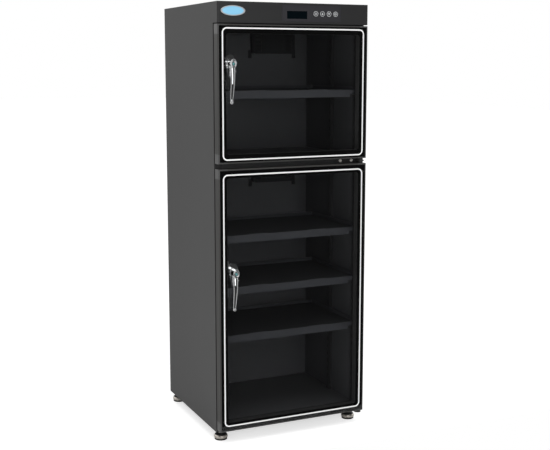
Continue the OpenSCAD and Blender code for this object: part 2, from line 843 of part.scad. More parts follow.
// Screws of the hinges, the drying-unit covers and the rear cover
module screws() {
    z_mid = lower_z + lower_door_h + door_gap / 2;
    hinge_xs = [168, 206];
    rear_zs = [for (i = [0 : 4]) z_base + 14 + i * (body_h - z_base - 30) / 4];
    color(bright_metal) {
        for (x = hinge_xs) {
            translate([x, y_case - hinge_t, z_mid]) rotate([90, 0, 0]) pan_screw(4.6, 2.6, 0);
            translate([x, y_case - hinge_t, lower_z - sill_h / 2]) rotate([90, 0, 0])
                pan_screw(4.6, 2.6, 0);
        }
        for (uz = [upper_unit_z, lower_unit_z], s = [-1, 1])
            translate([unit_x + s * (unit_w / 2 + 6), y_inner - 2, uz - 9]) rotate([90, 0, 0])
                pan_screw(3.8, 2.2, 0);
        for (z = rear_zs, s = [-1, 1]) translate([s * (wall_x - 8), y_back, z])
            rotate([-90, 0, 0]) pan_screw(4, 2.2, 0);
        for (x = [-80, 80], z = [rear_zs[0], rear_zs[4]]) translate([x, y_back, z])
            rotate([-90, 0, 0]) pan_screw(4, 2.2, 0);
    }
}

// Ramped strike plates behind the left stile, one for each latch cam
module keepers() {
    color(zinc_metal) for (z = [upper_spindle_z, lower_spindle_z])
        translate([-hw + 5, y_case + sheet_t, z - 10]) difference() {
            cube([17, 2, 40]);
            translate([-1, 1, 28]) rotate([12, 0, 0]) cube([20, 4, 20]);
        }
}

// Levelling foot: threaded stud, hexagon, steel cup and rubber pad, turning about its stud
module levelling_foot(p) {
    pad_h = 7;
    translate([p[0], p[1], 0]) color([0.10, 0.10, 0.10]) {
        cylinder(r = 21, h = pad_h * 0.5);
        translate([0, 0, pad_h * 0.5]) cylinder(r1 = 22, r2 = 21, h = pad_h * 0.5);
        translate([0, 0, pad_h]) cylinder(r = 20, h = 3);
        translate([0, 0, pad_h + 3]) cylinder(r1 = 20, r2 = 12, h = 4);
        translate([0, 0, pad_h + 7]) cylinder(r = 9, h = 6, $fn = 6);
        translate([0, 0, pad_h + 7]) cylinder(r = stud_r, h = foot_h + 14 - pad_h - 7);
    }
}

module foot_front_left() {
    levelling_foot(foot_places[0]);
}

module foot_rear_left() {
    levelling_foot(foot_places[1]);
}

module foot_front_right() {
    levelling_foot(foot_places[2]);
}

module foot_rear_right() {
    levelling_foot(foot_places[3]);
}

// Section of the frame profile: u runs inwards from the door's edge, v back from its front
module frame_section() {
    difference() {
        union() {
            translate([0, edge_r]) square([lip_w, door_t - edge_r]);
            intersection() {
                translate([edge_r, edge_r]) circle(edge_r);
                square([lip_w, edge_r]);
            }
            translate([edge_r, 0]) square([lip_w - edge_r, edge_r]);
            translate([lip_w - 0.01, seat_v]) square([frame_w - lip_w, door_t - seat_v]);
        }
        translate([chamber_wall, seat_v + chamber_wall])
            square([frame_w - 2 * chamber_wall, door_t - seat_v - 5 - chamber_wall]);
        // Groove that holds the seal's foot
        translate([groove_u, door_t - groove_d]) square([groove_w, groove_d + 1]);
    }
}

// Extruded frame sides of a door from z0, standing and lying
module door_frame(z0, h) {
    l = h - 2 * corner_w;
    color(frame_metal) for (s = [0, 1]) {
        mirror([s, 0, 0]) translate([-hw, y_front, z0 + corner_w])
            linear_extrude(l) frame_section();
        translate([0, 0, s * (2 * z0 + h)]) mirror([0, 0, s])
            translate([corner_w - hw, y_front, z0]) rotate([90, 0, 90])
            linear_extrude(door_w - 2 * corner_w) mirror([1, -1, 0]) frame_section();
    }
}

// One moulded corner, at the lower left, rounded on both outer front edges
module frame_corner() {
    difference() {
        intersection() {
            linear_extrude(corner_w) corner_outline();
            rotate([90, 0, 90]) linear_extrude(corner_w) mirror([1, -1, 0]) corner_outline();
        }
        translate([lip_w, -1, lip_w]) cube([corner_w, seat_v + 1, corner_w]);
        // The seal's groove, turning the corner
        translate([groove_u, door_t - groove_d, groove_u]) cube([groove_w, 5, corner_w]);
        translate([groove_u, door_t - groove_d, groove_u]) cube([corner_w, 5, groove_w]);
    }
}

module corner_outline() {
    union() {
        translate([edge_r, 0]) square([corner_w - edge_r, door_t]);
        translate([0, edge_r]) square([edge_r, door_t - edge_r]);
        translate([edge_r, edge_r]) circle(edge_r);
    }
}

// Four corners of a door; the two at the hinge side are bored for the pins
module door_corners(z0, h) {
    color(frame_metal) {
        for (t = [0, 1]) translate([0, 0, t * (2 * z0 + h)]) mirror([0, 0, t]) {
            translate([-hw, y_front, z0]) frame_corner();
            difference() {
                translate([hw, y_front, z0]) mirror([1, 0, 0]) frame_corner();
                translate([pivot_x, pivot_y, z0 - 1])
                    cylinder(r = pin_r + fit_gap, h = pin_reach + 2);
            }
        }
    }
}

// Tempered pane, set flush in the frame and drilled for the lever
module door_glass(z0, h, s) {
    m = lip_w + 0.3;
    color(tinted_glass) difference() {
        xz_plate(y_front + glass_in, glass_t)
            translate([m - hw, z0 + m]) round_rect(door_w - 2 * m, h - 2 * m, 1.5);
        at_spindle(s) translate([0, 0, -20]) cylinder(r = barrel_r + 0.3, h = 30);
    }
}

// Printed line round the pane, at one distance from the sides and another from the ends
module door_line(z0, h, end_in) {
    w1 = door_w - 2 * line_side;
    h1 = h - 2 * end_in;
    color([0.93, 0.93, 0.93]) xz_plate(y_front + glass_in - line_t, line_t)
        translate([line_side - hw, z0 + end_in]) difference() {
            round_rect(w1, h1, line_r);
            translate([line_w, line_w])
                round_rect(w1 - 2 * line_w, h1 - 2 * line_w, line_r - line_w);
        }
}

// Section of the magnetic seal: foot in the groove, bellows, and the magnet strip
module seal_section() {
    reach = seal_gap - seal_play;
    translate([seal_in, door_t]) {
        translate([2.6, -seal_foot]) square([groove_w - 0.2, seal_foot + 0.1]);
        square([seal_w, 1.2]);
        translate([1.2, 1]) square([1.2, reach - 3]);
        translate([seal_w - 2.4, 1]) square([1.2, reach - 3]);
        translate([0.6, reach - 2.6]) square([seal_w - 1.2, 2.6]);
    }
}

// Seal strips along the four sides of a door, mitred at the corners
module door_seal(z0, h) {
    color(black_rubber) for (s = [0, 1]) {
        mirror([s, 0, 0]) translate([-hw, y_front, z0]) difference() {
            translate([0, 0, seal_in]) linear_extrude(h - 2 * seal_in) seal_section();
            seal_mitre();
            translate([0, 0, h]) mirror([0, 0, 1]) seal_mitre();
        }
        translate([0, 0, s * (2 * z0 + h)]) mirror([0, 0, s])
            translate([-hw, y_front, z0]) difference() {
                translate([seal_in, 0, 0]) rotate([90, 0, 90])
                    linear_extrude(door_w - 2 * seal_in) mirror([1, -1, 0]) seal_section();
                mirror([1, 0, -1]) seal_mitre();
                translate([door_w, 0, 0]) mirror([1, 0, 0]) mirror([1, 0, -1]) seal_mitre();
            }
    }
}

// Wedge that cuts an upright strip at 45 degrees at the lower end
module seal_mitre() {
    cut = 40;
    translate([0, door_t - 5, 0]) rotate([-90, 0, 0]) mirror([0, 1, 0]) linear_extrude(20)
        polygon([[0, 0.03], [0, -1], [cut, -1], [cut, cut + 0.03]]);
}

barrel_r = 6.6;

// Teardrop plate on the glass, with the threaded barrel and its nut behind the pane
module handle_plate(s) {
    out = -glass_in;
    at_spindle(s) color(bright_metal) difference() {
        union() {
            translate([0, 0, out]) hull() {
                translate([0, 12, 0]) cylinder(r = 14.5, h = 2.4, $fn = 32);
                translate([0, 12, 2.4]) cylinder(r = 12, h = 1.8, $fn = 32);
                translate([0, -32, 0]) cylinder(r = 5.5, h = 1.8, $fn = 32);
                translate([0, -32, 1.8]) cylinder(r = 4, h = 1, $fn = 32);
            }
            translate([0, 0, out]) cylinder(r = 9, h = 5.5);
            translate([0, 0, -seat_v - 6]) cylinder(r = barrel_r, h = seat_v + 6.2);
        }
        translate([0, 0, -30]) cylinder(r = spindle_r + fit_gap, h = 50);
    }
}

// Stations of the lever's arm: height, distance from the door, half width, half thickness
arm = [[-4, 20, 9, 6.2], [-22, 21, 7.2, 5], [-44, 19.6, 6, 4.3], [-68, 16.8, 5.1, 3.7],
    [-92, 13.9, 4.5, 3.3], [5.6 - lever_l, 13.4, 5.4, 5.2]];

module arm_station(a) {
    translate([0, a[0], a[1]]) scale([a[2], min(a[2], 6), a[3]]) sphere(r = 1, $fn = 24);
}

// An oval disc, upright on the lever's head
module oval(w, h, t) {
    linear_extrude(t) scale([w / h, 1]) circle(h, $fn = 40);
}

// Cast lever: teardrop head, an oval rim round the sunk lock, a shoulder at the right, and an
// arm that tapers to a ball end
module lever(s) {
    at_spindle(s) color(bright_metal) {
        difference() {
            union() {
                hull() {
                    translate([0, 2, 5.4]) cylinder(r = 7.5, h = 1, $fn = 32);
                    translate([0, 2, 15]) oval(9.6, 13, 8);
                    translate([0, 1, rim_v - 3]) oval(8.6, 12.2, 4);
                    translate([0, -6, 16]) cylinder(r = 9.2, h = 5, $fn = 32);
                }
                translate([0, 1, rim_v]) oval(8, 11.6, front_proud - rim_v);
                for (i = [0 : len(arm) - 2]) hull() {
                    arm_station(arm[i]);
                    arm_station(arm[i + 1]);
                }
                translate([5.6, -20, 20]) scale([3.6, 2.4, 3.4]) sphere(r = 1, $fn = 24);
            }
            translate([0, 1, rim_v - 1]) oval(5.2, 8.6, 8);
            translate([0, 0, 18]) cylinder(r = plug_r + fit_gap, h = 14);
        }
    }
}

rim_v = front_proud - 1.4;
plug_r = 4.6;

// Spindle with its latch cam; the cam stands up when the lever hangs down
module spindle(s) {
    cam_v = y_case + sheet_t + 2.5 - y_front;
    at_spindle(s) color(zinc_metal) {
        translate([0, 0, -cam_v - 6]) cylinder(r = spindle_r, h = cam_v + 6 + 5.4);
        translate([0, 0, -cam_v - 4]) linear_extrude(4) {
            circle(8);
            translate([-5, 0]) square([10, cam_l - 5]);
            translate([0, cam_l - 5]) circle(5);
        }
        translate([0, 0, -cam_v - 6.5]) cylinder(r = 7.4, h = 2.5, $fn = 6);
    }
}

// Lock plug in the lever's head, with its keyway
module key_plug(s) {
    at_spindle(s) color([0.45, 0.72, 0.74]) difference() {
        union() {
            translate([0, 0, 18.2]) cylinder(r = plug_r, h = 11.6);
            translate([0, 0, 29.8]) cylinder(r1 = plug_r, r2 = plug_r - 0.8, h = 0.8);
        }
        translate([-0.6, -2.8, 24]) cube([1.2, 5.6, 12]);
    }
}

module upper_door_frame() {
    door_frame(upper_z, upper_door_h);
}

module upper_door_corners() {
    door_corners(upper_z, upper_door_h);
}

module upper_door_glass() {
    door_glass(upper_z, upper_door_h, upper_axis);
}

module upper_door_line() {
    door_line(upper_z, upper_door_h, upper_line_in);
}

module upper_door_seal() {
    door_seal(upper_z, upper_door_h);
}

module upper_handle_plate() {
    handle_plate(upper_axis);
}

module upper_lever() {
    lever(upper_axis);
}

module upper_spindle() {
    spindle(upper_axis);
}

module upper_key_plug() {
    key_plug(upper_axis);
}

module lower_door_frame() {
    door_frame(lower_z, lower_door_h);
}

module lower_door_corners() {
    door_corners(lower_z, lower_door_h);
}

module lower_door_glass() {
    door_glass(lower_z, lower_door_h, lower_axis);
}

module lower_door_line() {
    door_line(lower_z, lower_door_h, lower_line_in);
}

module lower_door_seal() {
    door_seal(lower_z, lower_door_h);
}

module lower_handle_plate() {
    handle_plate(lower_axis);
}

module lower_lever() {
    lever(lower_axis);
}

module lower_spindle() {
    spindle(lower_axis);
}

module lower_key_plug() {
    key_plug(lower_axis);
}

left_side_panel();
right_side_panel();
top_panel();
rear_cover();
base_panel();
inner_back_panel();
partition_panel();
ceiling_panel();
front_frame();
mid_rail();
header_panel();
control_overlay();
display_window();
badge();
control_board();
power_supply();
power_inlet();
wiring();
drying_units();
upper_unit_cover();
lower_unit_cover();
left_uprights();
right_uprights();
shelf_clips();
shelf_1();
shelf_2();
shelf_3();
shelf_4();
shelf_mats();
top_hinge();
middle_hinge();
bottom_hinge();
screws();
keepers();
button_power();
button_up();
button_down();
button_lamp();
foot_front_left();
foot_front_right();
foot_rear_left();
foot_rear_right();
upper_door_frame();
upper_door_corners();
upper_door_glass();
upper_door_line();
upper_door_seal();
upper_handle_plate();
upper_lever();
upper_spindle();
upper_key_plug();
lower_door_frame();
lower_door_corners();
lower_door_glass();
lower_door_line();
lower_door_seal();
lower_handle_plate();
lower_lever();
lower_spindle();
lower_key_plug();
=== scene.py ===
import bpy
import math
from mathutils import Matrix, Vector


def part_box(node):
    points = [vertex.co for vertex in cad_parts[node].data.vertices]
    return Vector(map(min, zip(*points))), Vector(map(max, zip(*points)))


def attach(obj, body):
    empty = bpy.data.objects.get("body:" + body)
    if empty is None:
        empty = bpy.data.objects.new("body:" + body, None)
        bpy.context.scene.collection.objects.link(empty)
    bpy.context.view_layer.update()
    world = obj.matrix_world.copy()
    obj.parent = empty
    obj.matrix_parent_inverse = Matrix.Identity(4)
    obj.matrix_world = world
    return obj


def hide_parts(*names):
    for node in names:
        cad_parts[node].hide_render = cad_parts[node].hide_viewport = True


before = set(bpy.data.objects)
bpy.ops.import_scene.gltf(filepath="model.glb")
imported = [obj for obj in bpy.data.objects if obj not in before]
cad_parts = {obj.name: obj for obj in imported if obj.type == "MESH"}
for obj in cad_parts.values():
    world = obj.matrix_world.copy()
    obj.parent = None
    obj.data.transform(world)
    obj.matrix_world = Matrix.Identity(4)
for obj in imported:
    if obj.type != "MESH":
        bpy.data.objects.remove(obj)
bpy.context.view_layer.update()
bpy.ops.object.select_all(action="DESELECT")

# Camera. It stands to the left of the cabinet, about as high as the header, and looks a little
# down. A small downward shift of the lens takes the place of more tilt.
picture_width = 550
focal_length_px, lens_drop_px = 996, 12.5
tilt_down, turn_right = math.radians(8.45), math.radians(24.64)
camera = bpy.data.objects.new("camera", bpy.data.cameras.new("camera"))
bpy.context.scene.collection.objects.link(camera)
camera.location = (-1.2659, -2.8356, 1.1153)
camera.rotation_euler = (math.pi / 2 - tilt_down, 0, -turn_right)
camera.data.lens = camera.data.sensor_width * focal_length_px / picture_width
camera.data.shift_y = -lens_drop_px / picture_width
bpy.context.scene.camera = camera
bpy.context.scene.view_settings.view_transform = "Standard"


# Studio. The world is white behind the object, also in metal and glass, and gives an even light.
# Mirrored, it is dark at the end where the camera stands, so that the panes don't turn milky.
def add_node(tree, kind, **numbers):
    """A new shader node, with its plain numbers given by socket name."""
    node = tree.nodes.new("ShaderNode" + kind)
    for socket, value in numbers.items():
        node.inputs[socket.replace("_", " ")].default_value = value
    return node


def reckon(tree, operation, *terms):
    """The output of a Math node. Each term is a number, or the output that feeds it."""
    node = tree.nodes.new("ShaderNodeMath")
    node.operation = operation
    for socket, term in zip(node.inputs, terms):
        if isinstance(term, (int, float)):
            socket.default_value = term
        else:
            tree.links.new(term, socket)
    return node.outputs[0]


def split_place(tree, coordinates):
    """The X, Y and Z outputs of a kind of texture coordinate."""
    place = tree.nodes.new("ShaderNodeTexCoord")
    axes = tree.nodes.new("ShaderNodeSeparateXYZ")
    tree.links.new(place.outputs[coordinates], axes.inputs[0])
    return axes.outputs


even_strength, dark_strength, white_strength = 0.56, 0.035, 1.0
dark_until, white_from = -0.75, 0.15
world = bpy.data.worlds.new("studio")
bpy.context.scene.world = world
world.use_nodes = True
tree = world.node_tree
tree.nodes.clear()
path = add_node(tree, "LightPath")
is_mirrored = reckon(tree, "MAXIMUM", path.outputs["Is Glossy Ray"],
                     path.outputs["Is Transmission Ray"])
fade = add_node(tree, "MapRange", From_Min=dark_until, From_Max=white_from,
                To_Min=dark_strength, To_Max=white_strength)
fade.interpolation_type = "SMOOTHSTEP"
tree.links.new(split_place(tree, "Generated")["Y"], fade.inputs["Value"])
strength = add_node(tree, "Mix")
strength.data_type = "FLOAT"
strength.inputs["A"].default_value = even_strength
tree.links.new(is_mirrored, strength.inputs["Factor"])
tree.links.new(fade.outputs["Result"], strength.inputs["B"])
light = add_node(tree, "Background", Color=(1, 1, 1, 1))
tree.links.new(strength.outputs["Result"], light.inputs["Strength"])
white = add_node(tree, "Background", Color=(1, 1, 1, 1))
seen = add_node(tree, "MixShader")
tree.links.new(path.outputs["Is Camera Ray"], seen.inputs["Fac"])
tree.links.new(light.outputs[0], seen.inputs[1])
tree.links.new(white.outputs[0], seen.inputs[2])
tree.links.new(seen.outputs[0], add_node(tree, "OutputWorld").inputs["Surface"])

# Softboxes. Four large lamps help the world's even light. Only the last one shows in the chrome,
# where it draws the long highlight down each lever.
middle_of_cabinet = Vector((0, 0, 0.6))
for name, spot, width, height, watts, shows_in_chrome in (
    ("left_softbox", (-1.9, -0.9, 0.2), 1.3, 1.3, 12, False),
    ("top_softbox", (-0.2, -1.1, 3.1), 1.8, 1.8, 22, False),
    ("front_fill", (-0.3, -3.5, 1.05), 1.8, 1.9, 16, False),
    ("front_softbox", (-0.3, -3.2, 1.05), 1.8, 1.9, 17, True),
):
    lamp = bpy.data.objects.new(name, bpy.data.lights.new(name, "AREA"))
    bpy.context.scene.collection.objects.link(lamp)
    lamp.data.shape = "RECTANGLE"
    lamp.data.size, lamp.data.size_y = width, height
    lamp.data.energy = watts
    lamp.visible_glossy = shows_in_chrome
    lamp.visible_transmission = shows_in_chrome
    lamp.location = spot
    aim = (middle_of_cabinet - lamp.location).to_track_quat("-Z", "Y")
    lamp.rotation_euler = aim.to_euler()

# Floor. A wide sheet of white paper that only shows the cabinet's soft shadow. It ends just in
# front of the doors, so the panes mirror the dark end of the studio.
paper_size, paper_front, paper_glow = 30, -0.36, 0.6
bpy.ops.mesh.primitive_plane_add(size=paper_size, location=(0, paper_front + paper_size / 2, 0))
floor = bpy.context.object
floor.name = "paper_floor"
paper = bpy.data.materials.new("white_paper")
paper.use_nodes = True
tree = paper.node_tree
sheet = tree.nodes["Principled BSDF"]
sheet.inputs["Base Color"].default_value = (0.9, 0.9, 0.9, 1)
sheet.inputs["Roughness"].default_value = 0.9
sheet.inputs["Specular IOR Level"].default_value = 0
sheet.inputs["Emission Color"].default_value = (1, 1, 1, 1)
path = add_node(tree, "LightPath")
glow = reckon(tree, "MULTIPLY", path.outputs["Is Camera Ray"], paper_glow)
tree.links.new(glow, sheet.inputs["Emission Strength"])
floor.data.materials.append(paper)
floor.select_set(False)


# Powder coat. Steel is sprayed with powder and baked, which leaves a fine pebbled skin with
# slight changes of tone over a large sheet. The skin follows the sheet at a real scale. Moulded
# plastic, rubber and ink take the same skin with other grains.
def new_effect(name, **kinds):
    """A group for a finish, with named inputs, and an output for colour, gloss and height."""
    group = bpy.data.node_groups.new(name, "ShaderNodeTree")
    for socket, kind in kinds.items():
        group.interface.new_socket(name=socket, in_out="INPUT", socket_type="NodeSocket" + kind)
    for socket, kind in (("Base Color", "Color"), ("Roughness", "Float"), ("Height", "Float")):
        group.interface.new_socket(name=socket, in_out="OUTPUT", socket_type="NodeSocket" + kind)
    given = group.nodes.new("NodeGroupInput").outputs
    made = group.nodes.new("NodeGroupOutput").inputs
    return group, given, made


def vary(group, given, made, level, roughness_swing):
    """Lets a texture, centred on zero, change the tone and the gloss that a group is given."""
    tint = add_node(group, "VectorMath")
    tint.operation = "SCALE"
    group.links.new(given["Tone"], tint.inputs[0])
    swing = reckon(group, "MULTIPLY_ADD", level, given["Spread"], 1)
    group.links.new(swing, tint.inputs["Scale"])
    group.links.new(tint.outputs[0], made["Base Color"])
    sheen = reckon(group, "MULTIPLY_ADD", level, roughness_swing, given["Roughness"])
    group.links.new(sheen, made["Roughness"])


powder, given, made = new_effect("powder_coat", Tone="Color", Spread="Float", Grain="Float",
                                 Depth="Float", Roughness="Float")
place = add_node(powder, "TexCoord")
cloud = add_node(powder, "TexNoise", Scale=3.5, Detail=3)
pebble = add_node(powder, "TexNoise", Detail=2)
powder.links.new(given["Grain"], pebble.inputs["Scale"])
for texture in (cloud, pebble):
    powder.links.new(place.outputs["Object"], texture.inputs["Vector"])
mixed = reckon(powder, "ADD", cloud.outputs["Fac"], pebble.outputs["Fac"])
vary(powder, given, made, reckon(powder, "SUBTRACT", mixed, 1.0), roughness_swing=0.12)
height = reckon(powder, "MULTIPLY", pebble.outputs["Fac"], given["Depth"])
powder.links.new(height, made["Height"])


def finish(name, tone, roughness, metallic=0.0, **numbers):
    """A new material with one Principled shader, its plain numbers given by socket name."""
    mat = bpy.data.materials.new(name)
    mat.use_nodes = True
    shader = mat.node_tree.nodes["Principled BSDF"]
    shader.inputs["Base Color"].default_value = (*tone, 1)
    shader.inputs["Roughness"].default_value = roughness
    shader.inputs["Metallic"].default_value = metallic
    for socket, value in numbers.items():
        shader.inputs[socket.replace("_", " ")].default_value = value
    return mat


def apply_effect(mat, group, **values):
    """Places a group in a material and joins each of its outputs to the shader."""
    tree = mat.node_tree
    shader = tree.nodes["Principled BSDF"]
    effect = tree.nodes.new("ShaderNodeGroup")
    effect.name = "effect"
    effect.node_tree = group
    for socket, value in values.items():
        effect.inputs[socket].default_value = value
    bump = add_node(tree, "Bump", Distance=0.001, Strength=0.6)
    tree.links.new(effect.outputs["Height"], bump.inputs["Height"])
    tree.links.new(bump.outputs[0], shader.inputs["Normal"])
    for socket in ("Base Color", "Roughness"):
        tree.links.new(effect.outputs[socket], shader.inputs[socket])


def pebbled(name, tone, roughness, spread, grain, depth, metallic=0.0, **numbers):
    """A finish with the pebbled skin of powder coat: its unevenness, fineness and relief."""
    mat = finish(name, tone, roughness, metallic, **numbers)
    apply_effect(mat, powder, Tone=(*tone, 1), Roughness=roughness, Spread=spread, Grain=grain,
                 Depth=depth)
    return mat


# Case. Folded steel sheets in a grey powder coat, screwed and welded together. The side panels
# are grey outside and on the header's cheeks, and black on their inner faces.
case_grey, inside_black = (0.082, 0.082, 0.082), (0.085, 0.085, 0.088)
case_skin = {"roughness": 0.5, "spread": 0.16, "grain": 1100, "depth": 0.12,
             "Specular_IOR_Level": 0.06}
inner_half_width, inside_from = 0.2391, -0.1785


def coat(mat, *names):
    """Gives a finish to CAD nodes."""
    for name in names:
        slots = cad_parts[name].material_slots
        if not slots:
            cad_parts[name].data.materials.append(mat)
        for slot in slots:
            slot.material = mat


def second_tone(mat, mask, tone):
    """Gives a finish another tone wherever a mask is 1."""
    tree = mat.node_tree
    outer = tree.nodes["effect"].inputs["Tone"]
    shade = tree.nodes.new("ShaderNodeMix")
    shade.data_type = "RGBA"
    shade.inputs["A"].default_value = outer.default_value
    shade.inputs["B"].default_value = (*tone, 1)
    tree.links.new(mask, shade.inputs["Factor"])
    tree.links.new(shade.outputs["Result"], outer)


case_paint = pebbled("case_paint", case_grey, **case_skin)
coat(case_paint, "top_panel", "rear_cover")
side_paint = pebbled("side_paint", case_grey, **case_skin)
tree = side_paint.node_tree
axes = split_place(tree, "Object")
within = reckon(tree, "LESS_THAN", reckon(tree, "ABSOLUTE", axes["X"]), inner_half_width)
behind = reckon(tree, "GREATER_THAN", axes["Y"], inside_from)
second_tone(side_paint, reckon(tree, "MULTIPLY", within, behind), inside_black)
coat(side_paint, "left_side_panel", "right_side_panel")

# Header fascia and front frame. The same steel in a smoother and darker coat. The fascia sits
# between the cheeks of the side panels, and the frame stands behind the doors.
front_paint = pebbled("front_paint", (0.025, 0.025, 0.0256), roughness=0.36, spread=0.1, grain=1500,
                      depth=0.05, Specular_IOR_Level=0.3)
coat(front_paint, "header_panel", "front_frame")

# Inside of the case. Steel sheets in a matt black coat: the floor, the back, the ceiling, and
# the double partition between the two compartments.
inner_paint = pebbled("inner_paint", inside_black, roughness=0.5, spread=0.14, grain=1100,
                      depth=0.05)
coat(inner_paint, "base_panel", "inner_back_panel", "partition_panel", "ceiling_panel")

# Uprights and middle rail. The slotted steel uprights carry the shelf clips, and the ribbed rail
# fills the gap between the doors. Both are black.
rail_paint = pebbled("rail_paint", (0.030, 0.030, 0.031), roughness=0.45, spread=0.14, grain=1100,
                     depth=0.05)
coat(rail_paint, "left_uprights", "right_uprights", "mid_rail")

# Shelves. Pressed steel with a folded front lip, in a satin charcoal coat. Each rests on four
# clips that hook into the uprights.
shelf_paint = pebbled("shelf_paint", (0.054, 0.055, 0.060), roughness=0.34, spread=0.12, grain=1300,
                      depth=0.06)
coat(shelf_paint, "shelf_1", "shelf_2", "shelf_3", "shelf_4")

# Shelf mats. Ribbed black rubber sheet, cut to the shelf and laid loose in it, so that cameras
# and lenses don't slide.
mat_rubber = pebbled("mat_rubber", (0.022, 0.022, 0.023), roughness=0.62, spread=0.9, grain=300,
                     depth=0.6)
coat(mat_rubber, "shelf_mats")

# Mouldings. Black plastic with a fine spark-eroded grain: the louvred covers of the drying
# units, the mains inlet and the sleeve of the wiring.
moulding = pebbled("black_moulding", (0.018, 0.018, 0.019), roughness=0.42, spread=0.15, grain=1800,
                   depth=0.1)
coat(moulding, "upper_unit_cover", "lower_unit_cover", "power_inlet", "wiring")

# Drying cartridges. Boxes of natural plastic with the desiccant and its heater, fixed behind the
# inner back, one for each compartment.
cartridge = pebbled("natural_plastic", (0.6, 0.58, 0.52), roughness=0.5, spread=0.06, grain=600,
                    depth=0.05)
coat(cartridge, "drying_units")

# Brushed metal. An abrasive belt or a cutter leaves fine scratches that run one way, which
# change the metal's height, gloss and tone.
scratch_relief = 0.03
brushed, given, made = new_effect("brushed_metal", Tone="Color", Run="Vector", Spread="Float",
                                  Roughness="Float")
place = add_node(brushed, "TexCoord")
stretch = add_node(brushed, "VectorMath")
stretch.operation = "MULTIPLY"
brushed.links.new(place.outputs["Object"], stretch.inputs[0])
brushed.links.new(given["Run"], stretch.inputs[1])
scratch = add_node(brushed, "TexNoise", Scale=900, Detail=4)
brushed.links.new(stretch.outputs[0], scratch.inputs["Vector"])
level = reckon(brushed, "SUBTRACT", scratch.outputs["Fac"], 0.5)
vary(brushed, given, made, level, roughness_swing=0.3)
height = reckon(brushed, "MULTIPLY", scratch.outputs["Fac"], scratch_relief)
brushed.links.new(height, made["Height"])


def scratched(name, tone, roughness, spread, run=(1, 1, 1), metallic=1.0, **numbers):
    """A metal finish whose scratches are drawn out along each axis where run is small."""
    mat = finish(name, tone, roughness, metallic, **numbers)
    apply_effect(mat, brushed, Tone=(*tone, 1), Roughness=roughness, Spread=spread, Run=run)
    return mat


# Door frames. Aluminium profiles, brushed and anodised dark grey. They are cut square, and the
# corner mouldings join them.
frame_metal = scratched("anodised_frame", (0.075, 0.074, 0.072), roughness=0.34, spread=0.3,
                        run=(1, 1, 0.015), metallic=0.4, Specular_IOR_Level=0.12,
                        Specular_Tint=(0.4, 0.4, 0.4, 1))
coat(frame_metal, "upper_door_frame", "lower_door_frame")

# Frame corners. Grained plastic mouldings with rounded outer edges that join the profiles.
# Those on the right are bored for the hinge pins.
corner = pebbled("corner_moulding", (0.060, 0.060, 0.060), roughness=0.38, spread=0.12, grain=1500,
                 depth=0.06)
coat(corner, "upper_door_corners", "lower_door_corners")

# Panes. Smoked tempered glass, set into the front of each door frame behind a thin metal lip.
# Light for the shelves goes straight through it, weakened by the smoke.
glass = finish("smoked_glass", (0.74, 0.75, 0.76), roughness=0.0, Transmission_Weight=1.0, IOR=1.45,
               Specular_IOR_Level=0.1)
tree = glass.node_tree
smoke = add_node(tree, "BsdfTransparent", Color=(0.86, 0.865, 0.87, 1))
path = add_node(tree, "LightPath")
passing = reckon(tree, "MAXIMUM", path.outputs["Is Shadow Ray"], path.outputs["Is Diffuse Ray"])
pane = add_node(tree, "MixShader")
tree.links.new(passing, pane.inputs["Fac"])
tree.links.new(tree.nodes["Principled BSDF"].outputs[0], pane.inputs[1])
tree.links.new(smoke.outputs[0], pane.inputs[2])
tree.links.new(pane.outputs[0], tree.nodes["Material Output"].inputs["Surface"])
coat(glass, "upper_door_glass", "lower_door_glass")

# Printed line. White ceramic ink, screen-printed as a rounded frame on each pane and fired onto
# the glass.
ink = pebbled("white_ink", (0.88, 0.88, 0.88), roughness=0.35, spread=0.03, grain=2500, depth=0.01)
coat(ink, "upper_door_line", "lower_door_line")

# Seals. Soft black rubber profiles with a magnet strip inside, pressed into the groove at the
# back of each door frame.
rubber = pebbled("seal_rubber", (0.013, 0.013, 0.013), roughness=0.55, spread=0.3, grain=700,
                 depth=0.1)
coat(rubber, "upper_door_seal", "lower_door_seal")

# Levers. A zinc casting for each door: a head with an oval rim round the sunk lock, a shoulder
# on the right, and a blade that swells and then runs down to a small ball. It is polished,
# chromed and set on the spindle.
chrome = pebbled("chrome", (0.86, 0.87, 0.88), roughness=0.07, spread=0.03, grain=120, depth=0.004,
                 metallic=1.0)
door_face = -0.2155
spindles = (("upper", -0.204, 1.117), ("lower", -0.199, 0.520))
facing_front = (math.pi / 2, 0, 0)


def select_only(obj):
    """Selects one object and makes it the active one."""
    bpy.ops.object.select_all(action="DESELECT")
    obj.select_set(True)
    bpy.context.view_layer.objects.active = obj


def apply_modifiers(obj):
    """Applies an object's modifiers in order and puts its place into its mesh."""
    select_only(obj)
    for modifier in list(obj.modifiers):
        bpy.ops.object.modifier_apply(modifier=modifier.name)
    bpy.ops.object.transform_apply(location=True, rotation=True, scale=True)


def join(name, objs):
    """Joins the parts of one casting or moulding and names the piece."""
    select_only(objs[0])
    for obj in objs:
        obj.select_set(True)
    if len(objs) > 1:
        bpy.ops.object.join()
    bpy.ops.object.transform_apply(location=True, rotation=True, scale=True)
    bpy.context.object.name = name
    return bpy.context.object


def rod(x, z, radius, near, far, vertices=48, oval=1.0):
    """A round or oval bar across a door's face, from one distance in front of it to another."""
    bpy.ops.mesh.primitive_cylinder_add(vertices=vertices, radius=radius, depth=far - near,
                                        location=(x, door_face - (near + far) / 2, z),
                                        rotation=facing_front)
    bpy.context.object.scale = (1, oval, 1)
    return bpy.context.object


def cut(obj, tool):
    """Takes one solid out of another with a Boolean and removes the tool."""
    hole = obj.modifiers.new("cut", "BOOLEAN")
    hole.operation = "DIFFERENCE"
    hole.object = tool
    apply_modifiers(obj)
    bpy.data.objects.remove(tool)


